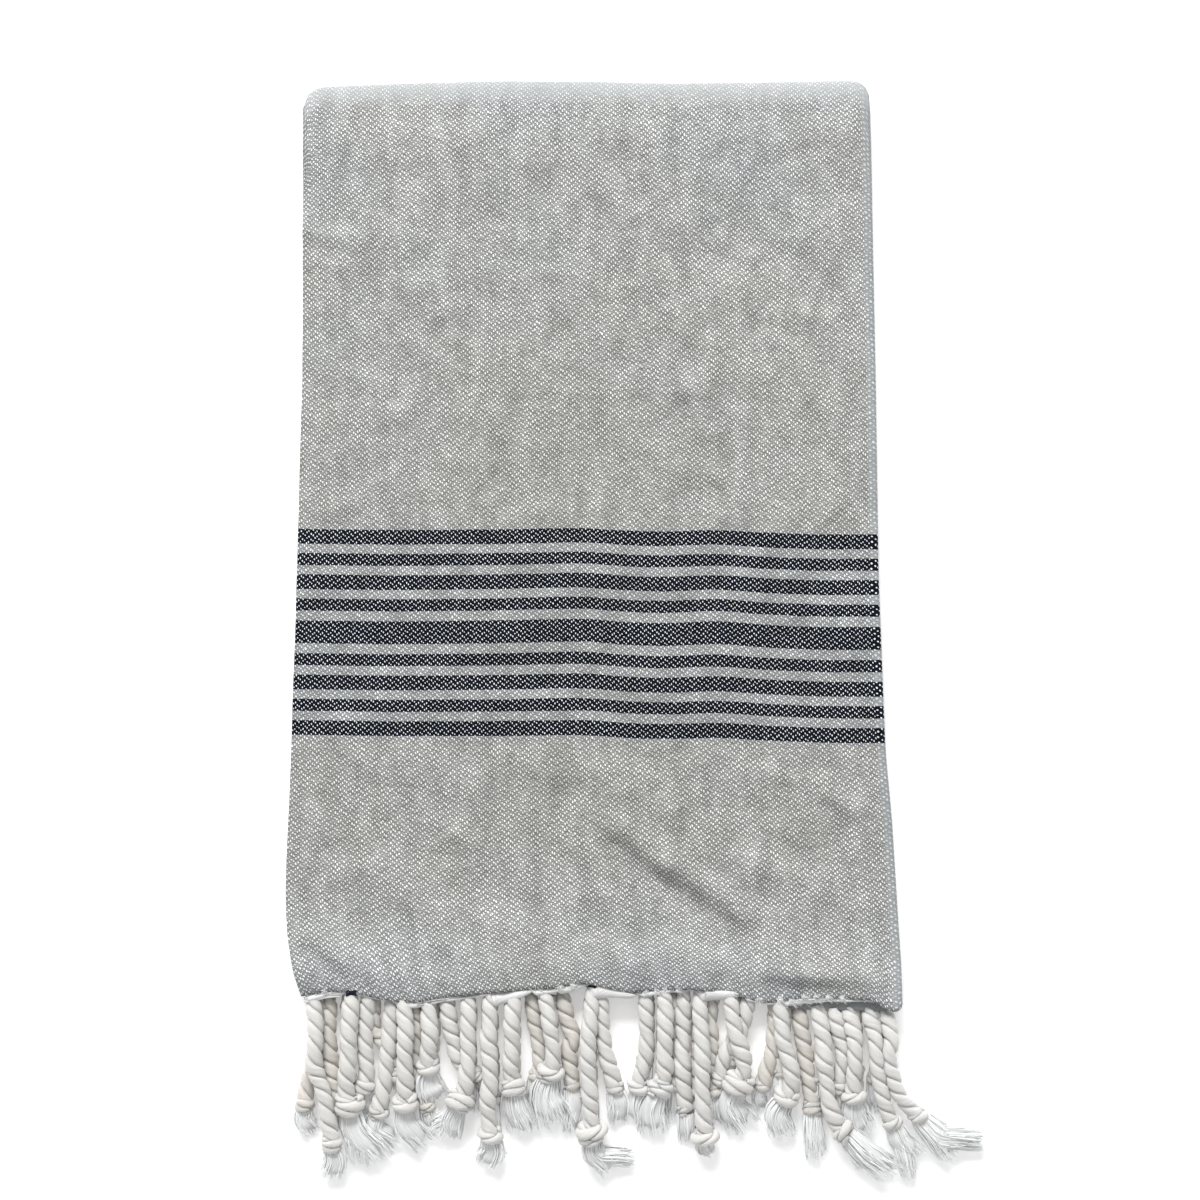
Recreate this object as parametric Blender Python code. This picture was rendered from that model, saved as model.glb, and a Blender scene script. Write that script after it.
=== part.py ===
"""Hammam towel lying folded: once lengthwise, then once across, fringes together.

The cloth is one sheet. It is folded along its length at the right edge, and the
double strip is then folded over at the top, so four layers lie on the surface.
Each end carries a comb of twisted, knotted tassels along its folded hem.
Metres, +Z up, +Y towards the top fold, tassels towards -Y.
"""
import math

import bpy
import bmesh
from mathutils import Vector

MM = 0.001

# ---- cloth
SHEET = 1.0 * MM              # thickness of one layer
WIDTH = 241.0 * MM            # folded width, about the same all the way up
LEFT = -121.0 * MM            # its left side, from the middle line of the top fold
LAYER_PITCH = 1.5 * MM        # one layer's middle to the next where they lie flat
FOLD_LINE = 383.0 * MM        # top fold, measured up from the hem line
TOP_NOSE = 13.0 * MM          # how far the top fold's round runs along the cloth
SIDE_NOSE = 3.0 * MM          # the same for the lengthwise fold at the right
LEFT_CORNER = 8.5 * MM        # rounding of the top corners, seen from above
RIGHT_CORNER = 5.0 * MM
TOP_BULGE = 1.9 * MM          # extra opening between the two packs at the top fold
TOP_REACH = 32.0 * MM
SIDE_BULGE = 0.5 * MM         # extra opening inside the lengthwise fold
SIDE_REACH = 14.0 * MM
HEM_BULGE = 0.85 * MM         # the tassels hold the layers apart along the hems
HEM_PARTING = 0.95 * MM
HEM_REACH = 24.0 * MM

# ---- fringe
HEM_GAP = 0.3 * MM            # clear space between a hem and its comb
HEADER = 0.9 * MM             # radius of the whipped cord along the hem
ROPE = 3.0 * MM               # half thickness of a twisted tassel
ROOT_HEIGHT = 1.2 * MM        # half height of a tassel where it leaves the hem
LOWER_BED = 0.3 * MM          # underside of the lower tassels
UPPER_BED = 6.75 * MM         # underside of the upper tassels, on the lower ones
OUTER_DROP = 20.0 * MM        # run in which an outer upper tassel comes down to its bed
INNER_DROP = 8.0 * MM         # the same from the second layer's hem, further down
FULL_ROUND = 16.0 * MM        # run in which a tassel reaches its full thickness
SWAY_POWER = 1.6              # sway gathers towards the tip
TEETH_PER_LAYER = (13, 12)    # tassels on the outer and on the inner half of a hem
END_MARGIN = 4.0 * MM         # first tassel from the selvage

# ---- mesh density
FRONT_COLUMNS, FOLD_COLUMNS, INNER_COLUMNS = 15, 5, 4
FRONT_ROWS, FOLD_ROWS, BACK_ROWS = 23, 6, 7
CORNER_COLUMNS = (0.01, 0.03)             # shares of the width, close to each edge
ROPE_SIDES = 6

# Outline, millimetres: height above the hem line, then the edge's place across.
LEFT_EDGE = ((-5, -118), (3, -120), (9, -123), (20, -125), (33, -126.7), (46, -127.1),
             (63, -126.5), (94, -125), (160, -122.7), (258, -120), (383, -119.3))
RIGHT_EDGE = ((-5, 129.6), (15, 129.2), (50, 127.1), (77, 125.4), (103, 122.9),
              (176, 120), (258, 118.8), (338, 117.1), (383, 115.6))
# Hem of the top layer, millimetres: place across, then height (a soft scallop).
TOP_HEM = ((-121, 2.1), (-105, 4.1), (-86, 1.3), (-73, -1.3), (-54, 1.7), (-25, 3.7),
           (0, 6.5), (22, 3.9), (56, 3.7), (76, -0.8), (100, 0.8), (120, 0), (130, -3.3))
INNER_HEM = -4.0 * MM         # second layer shows a little below the first
BACK_HEM = 1.5 * MM           # the two lower layers stop a little short
SELVAGE_INSET = {"outer": 0.0, "inner": 1.4 * MM, "back": 0.7 * MM}

# Soft unevenness of the top layer: height, and wave lengths across and along.
UNEVEN = 0.25 * MM
WAVE_ACROSS, WAVE_ALONG, WAVE_SKEW = 21 * MM, 33 * MM, 60 * MM
# Shares of the width and length over which creases fade towards the two folds.
SIDE_FADE, TOP_FADE = 0.08, 0.05
# Main creases of the top layer, millimetres: from (x, y), to (x, y), half width, height.
CREASES = (
    (14, 78, 58, 44, 11, 2.2),
    (70, 96, 96, 88, 9, 1.2),
    (98, 88, 112, 66, 8, 1.3),
    (74, 8, 112, 16, 10, 1.8),
    (-124, 24, -104, 10, 9, 1.6),
    (-84, 290, -72, 262, 9, 1.1),
    (24, 370, 40, 306, 13, 1.0),
    (82, 336, 100, 306, 11, 0.9),
    (-118, 322, -94, 314, 10, 0.9),
    (36, 268, 44, 244, 10, 0.9),
)

# Upper tassels from left to right, millimetres: how far the tip hangs below the
# hem line, and how far it sways sideways from its root.
UPPER_TASSELS = (
    (53, -4), (73, -4), (72, 1), (60, 2), (63, 3), (46, 3), (59, 3), (69, 3), (50, 3),
    (57, 3), (55, 3), (47, 3), (72, 4), (53, 5), (58, 5), (59, 5), (65, 5), (52, 5),
    (55, 5), (45, 5), (60, 5), (69, 5), (73, 13), (70, 21), (60, 36),
)
LOWER_REACH = 58.0 * MM       # the lower tassels are even, with a small seesaw
LOWER_SEESAW = 7.0 * MM
SEESAW_STEP = 2.4             # radians from one lower tassel to the next

# A tassel along its length: fraction of the way, half width over the rope's, and
# half height over the rope's. Rope, knot, neck, tuft, cut end.
PROFILE = ((0.0, 1.0, 1.0), (0.14, 1.0, 1.0), (0.3, 1.0, 1.0), (0.52, 1.0, 1.0),
           (0.6, 1.32, 1.0), (0.68, 0.95, 0.9), (0.84, 1.4, 0.95), (1.0, 1.0, 0.45))


def through(rows, place):
    """Height of the smooth curve through a table's (place, value) rows."""
    if place <= rows[0][0]:
        return rows[0][1]
    if place >= rows[-1][0]:
        return rows[-1][1]
    slopes = [(b[1] - a[1]) / (b[0] - a[0]) for a, b in zip(rows, rows[1:])]
    tangents = [slopes[0]]
    for before, after in zip(slopes, slopes[1:]):
        turning = before * after <= 0
        tangents.append(0.0 if turning else 2 * before * after / (before + after))
    tangents.append(slopes[-1])
    index = max(i for i in range(len(rows) - 1) if rows[i][0] <= place)
    (x0, y0), (x1, y1) = rows[index], rows[index + 1]
    span = x1 - x0
    t = (place - x0) / span
    bend = (2 * t**3 - 3 * t**2 + 1, t**3 - 2 * t**2 + t, 3 * t**2 - 2 * t**3, t**3 - t**2)
    return (bend[0] * y0 + bend[1] * span * tangents[index]
            + bend[2] * y1 + bend[3] * span * tangents[index + 1])


def ease(t):
    """Smooth step from 0 to 1."""
    t = min(max(t, 0.0), 1.0)
    return t * t * (3 - 2 * t)


def near(distance, reach):
    """1 at a fold or hem, falling softly to 0 over its reach."""
    return math.exp(-(distance / reach) ** 2)


def left_edge(y):
    return through(LEFT_EDGE, y / MM) * MM


def right_edge(y):
    return through(RIGHT_EDGE, y / MM) * MM


def corner_drop(distance, radius):
    """How far a rounded corner falls back, at a distance in from the edge."""
    if distance >= radius:
        return 0.0
    return radius - math.sqrt(radius**2 - (radius - max(distance, 0.0)) ** 2)


def crease_height(x, y):
    """Ridges that lift the top layer, and a soft unevenness between them."""
    height = UNEVEN * (2 + math.sin(x / WAVE_ACROSS) + math.sin(y / WAVE_ALONG + x / WAVE_SKEW))
    here = Vector((x, y)) / MM
    for x0, y0, x1, y1, width, rise in CREASES:
        start, run = Vector((x0, y0)), Vector((x1 - x0, y1 - y0))
        t = min(max((here - start).dot(run) / run.length_squared, 0.0), 1.0)
        height += rise * MM * near((here - start - run * t).length, width)
    return height


def shares(count):
    """Places across one layer from 0 to 1, closer together at the corners."""
    ends = [0.0, *CORNER_COLUMNS]
    between = [i / count for i in range(1, count)]
    return ends + between + [1 - end for end in reversed(ends)]


def columns():
    """Across the folded strip: (share of the width, angle round the side fold)."""
    outer = [(share, math.pi / 2) for share in shares(FRONT_COLUMNS)[:-1]]
    fold = [(1.0, math.pi / 2 - math.pi * i / FOLD_COLUMNS) for i in range(FOLD_COLUMNS + 1)]
    inner = [(share, -math.pi / 2) for share in reversed(shares(INNER_COLUMNS)[:-1])]
    return outer + fold + inner


def rows():
    """Along the towel, the same way: front hem, top fold, back hem."""
    front = [(i / FRONT_ROWS, math.pi / 2) for i in range(FRONT_ROWS)]
    fold = [(1.0, math.pi / 2 - math.pi * i / FOLD_ROWS) for i in range(FOLD_ROWS + 1)]
    back = [(1 - (i + 1) / BACK_ROWS, -math.pi / 2) for i in range(BACK_ROWS)]
    return front + fold + back


def hem_height(x, outer, front):
    """Where a layer's hem lies; outer goes from -1, inner layer, to 1, outer layer."""
    if not front:
        return BACK_HEM
    share = (outer + 1) / 2
    return share * through(TOP_HEM, x / MM) * MM + (1 - share) * INNER_HEM


def on_cloth(share, side_angle, along, top_angle):
    """A point on the middle of the sheet, by its place across and along."""
    outer = math.sin(side_angle)
    front = top_angle > 0
    from_left, from_right = share * WIDTH, (1 - share) * WIDTH
    flat_x = LEFT + from_left
    corner = max(corner_drop(from_left, LEFT_CORNER), corner_drop(from_right, RIGHT_CORNER))
    fold_y = FOLD_LINE - TOP_NOSE - corner
    hem_y = hem_height(flat_x, outer, front)
    flat_y = hem_y + along * (fold_y - hem_y)

    at_side = near(from_right, SIDE_REACH)
    at_hem = near(flat_y - hem_y, HEM_REACH)
    at_top = near(fold_y - flat_y, TOP_REACH)
    half = LAYER_PITCH / 2
    half_pair = half + SIDE_BULGE * at_side + HEM_BULGE * at_hem
    half_pack = half_pair + half + TOP_BULGE * at_top + HEM_PARTING * at_hem
    offset = half_pair * outer

    layer = "back" if not front else "outer" if outer > 0 else "inner"
    left = left_edge(flat_y) + SELVAGE_INSET[layer]
    fold_x = right_edge(flat_y) - SIDE_NOSE
    x = left + share * (fold_x - left) + SIDE_NOSE * math.cos(side_angle)
    y = flat_y + (TOP_NOSE - half_pair + offset) * max(math.cos(top_angle), 0.0)
    z = SHEET / 2 + half_pack + half_pair + (half_pack + offset) * math.sin(top_angle)
    if front and outer > 0:
        settled = ease((1 - share) / SIDE_FADE) * ease((1 - along) / TOP_FADE)
        z += crease_height(x, y) * settled * outer * math.sin(top_angle)
    return Vector((x, y, z))


def material(name, colour, roughness):
    made = bpy.data.materials.new(name)
    made.use_nodes = True
    shader = made.node_tree.nodes["Principled BSDF"]
    shader.inputs["Base Color"].default_value = (*colour, 1.0)
    shader.inputs["Roughness"].default_value = roughness
    shader.inputs["Metallic"].default_value = 0.0
    return made


def add_object(name, bm, finish, parent):
    bmesh.ops.recalc_face_normals(bm, faces=bm.faces)
    mesh = bpy.data.meshes.new(name)
    bm.to_mesh(mesh)
    bm.free()
    mesh.shade_smooth()
    mesh.set_sharp_from_angle(angle=math.radians(50))
    mesh.materials.append(finish)
    made = bpy.data.objects.new(name, mesh)
    bpy.context.scene.collection.objects.link(made)
    made.parent = parent
    return made


def build_cloth(parent):
    """The sheet's middle surface as a grid, thickened to one closed solid."""
    bm = bmesh.new()
    grid = [[bm.verts.new(on_cloth(*column, *row)) for column in columns()] for row in rows()]
    for lower, upper in zip(grid, grid[1:]):
        for i in range(len(lower) - 1):
            bm.faces.new((lower[i], lower[i + 1], upper[i + 1], upper[i]))
    cloth = add_object("towel_cloth", bm, material("woven_cotton", (0.40, 0.40, 0.385), 0.9), parent)
    thick = cloth.modifiers.new("thickness", "SOLIDIFY")
    thick.thickness = SHEET
    thick.offset = 0.0
    return cloth


def ring(centre, half_width, bottom, top):
    """Six-sided section of a tassel, flat above and below, in a plane across it."""
    middle, half = (top + bottom) / 2, (top - bottom) / 2
    turns = [2 * math.pi * i / ROPE_SIDES for i in range(ROPE_SIDES)]
    flat = math.sin(math.pi / 3)
    return [Vector((centre.x + half_width * math.cos(a), centre.y, middle + half * math.sin(a) / flat))
            for a in turns]


def loft(bm, sections):
    """Closed tube through rings of vertices."""
    rings = [[bm.verts.new(point) for point in section] for section in sections]
    for first, second in zip(rings, rings[1:]):
        for i in range(len(first)):
            j = (i + 1) % len(first)
            bm.faces.new((first[i], first[j], second[j], second[i]))
    bm.faces.new(reversed(rings[0]))
    bm.faces.new(rings[-1])


def add_tassel(bm, root, reach, sway, bed, drop):
    """One tassel from its root on the hem cord to its cut end, on its bed."""
    length = root.y + reach
    root_bottom = max(root.z - ROOT_HEIGHT, LOWER_BED)
    root_top = root.z + ROOT_HEIGHT
    sections = []
    for share, width, height in PROFILE:
        gone = share * length
        down = ease(gone / drop)
        up = ease(gone / FULL_ROUND)
        bottom = root_bottom + (bed - root_bottom) * down
        top = root_top + (bed + 2 * ROPE * height - root_top) * up
        centre = Vector((root.x + sway * share**SWAY_POWER, root.y - gone, 0.0))
        sections.append(ring(centre, ROPE * width, bottom, top))
    loft(bm, sections)


def hem_line(front):
    """Points of the hem cord, just clear of the cloth's edge."""
    top_angle = math.pi / 2 if front else -math.pi / 2
    points = []
    for column in columns():
        edge = on_cloth(*column, 0.0, top_angle)
        points.append(Vector((edge.x, edge.y - HEM_GAP - HEADER, max(edge.z, LOWER_BED + HEADER))))
    return points


def point_at(points, x, outer):
    """Place on one half of the hem cord at a distance across."""
    turn = len(shares(FRONT_COLUMNS))
    half = points[:turn] if outer else points[turn:][::-1]
    for a, b in zip(half, half[1:]):
        if a.x <= x <= b.x:
            return a.lerp(b, (x - a.x) / (b.x - a.x))
    return half[0]


def build_comb(name, front, parent):
    """Hem cord and its tassels, joined into one closed solid."""
    points = hem_line(front)
    cord = bmesh.new()
    sections = []
    for i, point in enumerate(points):
        ahead = points[min(i + 1, len(points) - 1)] - points[max(i - 1, 0)]
        side = Vector((0, -1, 0))
        rise = ahead.cross(side).normalized()
        turns = [2 * math.pi * (k + 0.5) / ROPE_SIDES for k in range(ROPE_SIDES)]
        sections.append([point + HEADER * (math.cos(a) * side + math.sin(a) * rise) for a in turns])
    loft(cord, sections)
    yarn = material("cotton_yarn_" + name, (0.72, 0.72, 0.70), 0.9)
    comb = add_object(name, cord, yarn, parent)

    bm = bmesh.new()
    count = sum(TEETH_PER_LAYER)
    first, last = points[0].x + END_MARGIN, points[len(shares(FRONT_COLUMNS)) - 1].x - END_MARGIN
    for i in range(count):
        outer = i % 2 == 0
        x = first + (last - first) * i / (count - 1)
        root = point_at(points, x, outer)
        if front:
            reach, sway = (value * MM for value in UPPER_TASSELS[i])
            drop = OUTER_DROP if outer else INNER_DROP
            add_tassel(bm, root, reach, sway, UPPER_BED, drop)
        else:
            reach = LOWER_REACH + LOWER_SEESAW * math.sin(SEESAW_STEP * i)
            add_tassel(bm, root, reach, 0.0, LOWER_BED, FULL_ROUND)
    tassels = add_object(name + "_tassels", bm, yarn, parent)
    tassels.hide_render = True
    tassels.display_type = "WIRE"
    joined = comb.modifiers.new("tassels", "BOOLEAN")
    joined.operation = "UNION"
    joined.solver = "EXACT"
    joined.object = tassels
    return comb


def centre_on_origin(parent, objects):
    """Move the parent so that the towel's box stands centred on the origin."""
    bpy.context.view_layer.update()
    depsgraph = bpy.context.evaluated_depsgraph_get()
    corners = [Vector(c) for o in objects for c in o.evaluated_get(depsgraph).bound_box]
    for axis in (0, 1):
        values = [c[axis] for c in corners]
        parent.location[axis] = -(min(values) + max(values)) / 2
    bpy.context.view_layer.update()


def main():
    for old in list(bpy.data.objects):
        bpy.data.objects.remove(old)
    towel = bpy.data.objects.new("towel", None)
    bpy.context.scene.collection.objects.link(towel)
    pieces = [build_cloth(towel),
              build_comb("fringe_front", True, towel),
              build_comb("fringe_back", False, towel)]
    centre_on_origin(towel, pieces)


main()
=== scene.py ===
"""Hammam towel of twill-woven cotton, lying folded in four with its knotted fringe.

The sheet is folded once along its length, at the right, and once across, at the top.
Inside this file the towel's own layout is in millimetres: x across from the middle
of the top fold, y up from the hem line, z up from the surface it lies on.
"""
import math

import bpy
import numpy as np
from bpy.props import FloatProperty, FloatVectorProperty, IntProperty, PointerProperty
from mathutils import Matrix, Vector, noise


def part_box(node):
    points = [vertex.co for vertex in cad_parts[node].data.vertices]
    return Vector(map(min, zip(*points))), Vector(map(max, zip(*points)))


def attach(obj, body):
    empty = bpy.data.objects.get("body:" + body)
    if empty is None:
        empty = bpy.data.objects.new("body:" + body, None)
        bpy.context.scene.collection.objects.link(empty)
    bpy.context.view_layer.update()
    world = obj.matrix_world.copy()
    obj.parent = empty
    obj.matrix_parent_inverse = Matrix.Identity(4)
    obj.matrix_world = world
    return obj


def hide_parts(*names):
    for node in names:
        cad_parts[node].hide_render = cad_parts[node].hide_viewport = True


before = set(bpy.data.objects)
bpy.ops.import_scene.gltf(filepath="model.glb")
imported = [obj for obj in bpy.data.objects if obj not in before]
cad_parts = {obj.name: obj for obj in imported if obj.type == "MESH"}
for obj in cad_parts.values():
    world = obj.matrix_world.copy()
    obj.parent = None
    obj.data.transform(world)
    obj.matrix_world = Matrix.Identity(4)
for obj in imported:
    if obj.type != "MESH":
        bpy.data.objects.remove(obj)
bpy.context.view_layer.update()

bl_info = {
    "name": "Folded hammam towel",
    "version": (1, 0, 0),
    "blender": (4, 5, 0),
    "location": "View3D > Sidebar > Towel",
    "description": "Builds a folded striped hammam towel with its twisted and knotted fringe",
    "category": "Add Mesh",
}

MM = 0.001
BODY = "root"
CLOTH_NODE, FRONT_NODE, BACK_NODE = "towel_cloth", "fringe_front", "fringe_back"
FLAT_SIZE = (0.50, 0.762)     # the woven sheet before it was folded, metres

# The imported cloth's left edge and top fold give the place of the towel's layout.
CLOTH_LOW, CLOTH_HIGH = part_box(CLOTH_NODE)
TO_LEFT, TO_TOP = 127.1 * MM, 383.5 * MM
ORIGIN = Vector((CLOTH_LOW.x + TO_LEFT, CLOTH_HIGH.y - TO_TOP, 0.0))

# ---- how the sheet lies, millimetres
WIDTH = 241.0                 # folded width
LEFT = -121.0                 # left side, from the middle of the top fold
LAYER_PITCH = 1.5             # one layer's middle to the next
FOLD_LINE = 383.0             # top fold, up from the hem line
TOP_NOSE = 13.0               # run of the top fold's round
SIDE_NOSE = 3.0               # run of the lengthwise fold's round
LEFT_CORNER, RIGHT_CORNER = 8.5, 6.5
CORNER_REACH = 26.0
TOP_BULGE, TOP_REACH = 1.9, 32.0
SIDE_BULGE, SIDE_REACH = 0.5, 14.0
HEM_BULGE, HEM_PARTING, HEM_REACH = 0.85, 0.95, 24.0
LIFT = 1.3                    # the top layer floats this much over the next one
LEFT_EDGE = ((-5, -118), (3, -120), (9, -123), (20, -125), (33, -126.7), (46, -127.1),
             (63, -126.5), (94, -125), (160, -122.7), (258, -120), (383, -119.3))
RIGHT_EDGE = ((-5, 129.6), (15, 129.2), (50, 127.1), (77, 125.4), (103, 122.9),
              (176, 120), (258, 118.8), (338, 117.1), (383, 115.6))
HEM_ENDS = (-119.0, 129.5)    # the hem's left end and its fold, across
TOP_HEM = ((-119, 1.7), (-109, 3.9), (-99, 3.7), (-85, 0.5), (-75, -1.1), (-69, -0.5),
           (-61, 1.2), (-43, 2.9), (-24, 4.5), (-15, 4.9), (0, 7.3), (6, 6.2), (19, 3.1),
           (32, 4.7), (48, 4.5), (61, 3.2), (68, 0.7), (75, -1.1), (83, -0.1), (90, 0.9),
           (103, 0.9), (113, 0.6), (122, 0.3), (124.5, -3.5), (130, -4.6))
INNER_HEM = ((-119, 1.5), (-99, 3.5), (-75, -0.6), (-43, 3.2), (-24, 4.8), (0, 7.0), (19, 3.2),
             (48, 4.6), (61, 3.3), (75, -0.6), (81, -1.5), (87, -4.2), (130, -4.6))
HEM_CORNER = 3.2
HEM_SINK, SINK_REACH = 0.9, 7.0   # the top layer's edge turns down
BACK_HEM = 5.0
HEM_TILT = (-0.5, -0.0215)    # straight line under the scallops: height, slope
SCALLOP_REACH = 22.0
TOP_DROP = ((-119, 2.9), (-112, 2.4), (-76, 1.0), (-37, 0), (4, 0.3), (35, 1.0), (71, 0.7),
            (106, 0), (116, 0.2))
BAND_BOW = ((-121, 0.2), (-80, 0.2), (-37, 1.2), (0, 2.6), (17, 1.2), (33, 0.9), (56, 2.3),
            (74, 0.9), (98, 0.2), (121, 0.6))
BAND_MIDDLE, BOW_REACH = 152.0, 75.0

# Creases of the top layer: from (x, y), to (x, y), half width, rise (below 0 a trough).
CREASES = (
    (9, 64, 27, 50, 4, -1.4), (27, 50, 59, 29, 4, -1.4),
    (15, 71, 33, 57, 5.5, 2.2), (33, 57, 65, 36, 5.5, 2.2),
    (6, 96, 16, 86, 4, 0.9), (-8, 84, 6, 74, 4, 0.7), (-30, 100, -12, 92, 5, 0.8),
    (-100, 60, -80, 44, 6, 0.9), (-60, 40, -38, 30, 6, 0.8), (-20, 30, 4, 22, 5, 0.8),
    (34, 24, 52, 16, 5, 0.9), (60, 60, 84, 52, 6, 0.9), (92, 48, 112, 40, 5, 0.8),
    (17, 88, 24, 82, 3, 0.8), (77, 94, 96, 90, 4, 1.0), (98, 86, 112, 80, 4, 1.0),
    (112, 80, 110, 63, 4.5, 1.0), (100, 80, 103, 66, 4, -0.7),
    (75, 19, 87, 12, 5, 1.1), (77, 6, 108, 2, 4, -1.2), (74, 11, 112, 10, 5, 1.0),
    (-118, 20, -107, 11, 3.5, -1.1), (-119, 27, -104, 17, 5, 1.4),
    (-68, 69, -67, 68, 3, -0.6), (-82, 287, -72, 268, 4, 1.0), (-78, 290, -67, 272, 3.5, -0.5),
    (14, 372, 18, 318, 6, 0.8), (28, 372, 33, 312, 5, -0.6), (42, 372, 47, 318, 6, 0.6),
    (42, 271, 44, 250, 5, -0.6), (50, 272, 53, 248, 5, 0.5), (90, 329, 100, 308, 6, 0.9),
    (-120, 321, -100, 316, 4, 0.7), (-120, 309, -104, 305, 4, 0.6),
)
CREASE_DEPTH = 1.6
SMALL_CREASES = 240           # short random ones between them
EDGE_FADE = (0.05, 0.03)      # share of width and length in which they fade at the folds
DEEPEST = -1.0                # troughs below this are flattened, so layers stay apart
ACROSS_STEPS = (124, 8, 18)   # quads of the upper half, the lengthwise fold, the lower half
ALONG_STEPS = (190, 16, 40)   # quads of the front, the top fold, the back

# ---- weave, metres and threads
END_PITCH = 0.868 * MM
PICK_PITCH = 0.553 * MM
FLAT_RUN = 0.3655             # cloth from a hem to the start of the top fold
HALF_RUN = 0.2475             # cloth from a selvage to the start of the lengthwise fold
BAND_CENTRE = 0.1502          # from the hem, along the cloth
STRIPES = ((-1, 8.5), (16, 25), (32, 43), (50, 59), (66, 77))   # picks from the band centre
TWILL = 4.0                   # picks from one white dot to the next on the same end
END_JITTER, PICK_JITTER, STRIPE_JITTER = 1.3, 1.5, 0.7    # how far threads wander, threads
DOT_HALF = 0.375              # half a dot across the ends
DOT_REACH = (0.56, 0.5)       # half a dot along the picks, and what chance adds
DOT_LEAN = 0.55
DRAWN_IN = 0.25               # how much smaller the dots are in the stripes
MIDDLE_OF_WIDTH = 0.125       # of the flat cloth, in the middle of the upper half
TURNED_UNDER = 0.2535         # where the lower half starts, past the lengthwise fold
SIDE_FOLD = (0.2462, 0.2482)
# Tints of the cloth and painted shade along the hem, then two colours of painted light that the
# folds catch from the light
STRIPE_WARP = (0.98, 0.98, 0.98)
BAND_TINT = (0.84, 0.89, 1.02)
COOL_TINT, WARM_TINT = (0.98, 0.992, 1.02), (1.0, 0.995, 0.985)
MIDDLE_TINT, HEM_PAINTED_SHADE = (0.885, 0.878, 0.856), (0.86, 0.87, 0.88)
THIN_TINT, FULL_TINT = (0.92, 0.92, 0.92), (1.08, 1.08, 1.085)
SPARSE_TINT, DENSE_TINT = (0.92, 0.92, 0.915), (1.09, 1.09, 1.09)
CREST_COLOUR, SIDE_COLOUR = (0.44, 0.463, 0.468), (0.37, 0.395, 0.41)

# ---- fringe, millimetres
BEDS = {"inner": (5.8, 9.6, 7.6), "high": (8.0, 9.9, 7.6), "middle": (6.9, 6.6, 5.2),
        "low": (4.4, 4.1, 4.0)}     # height of a rope at its root, middle and end
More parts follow.
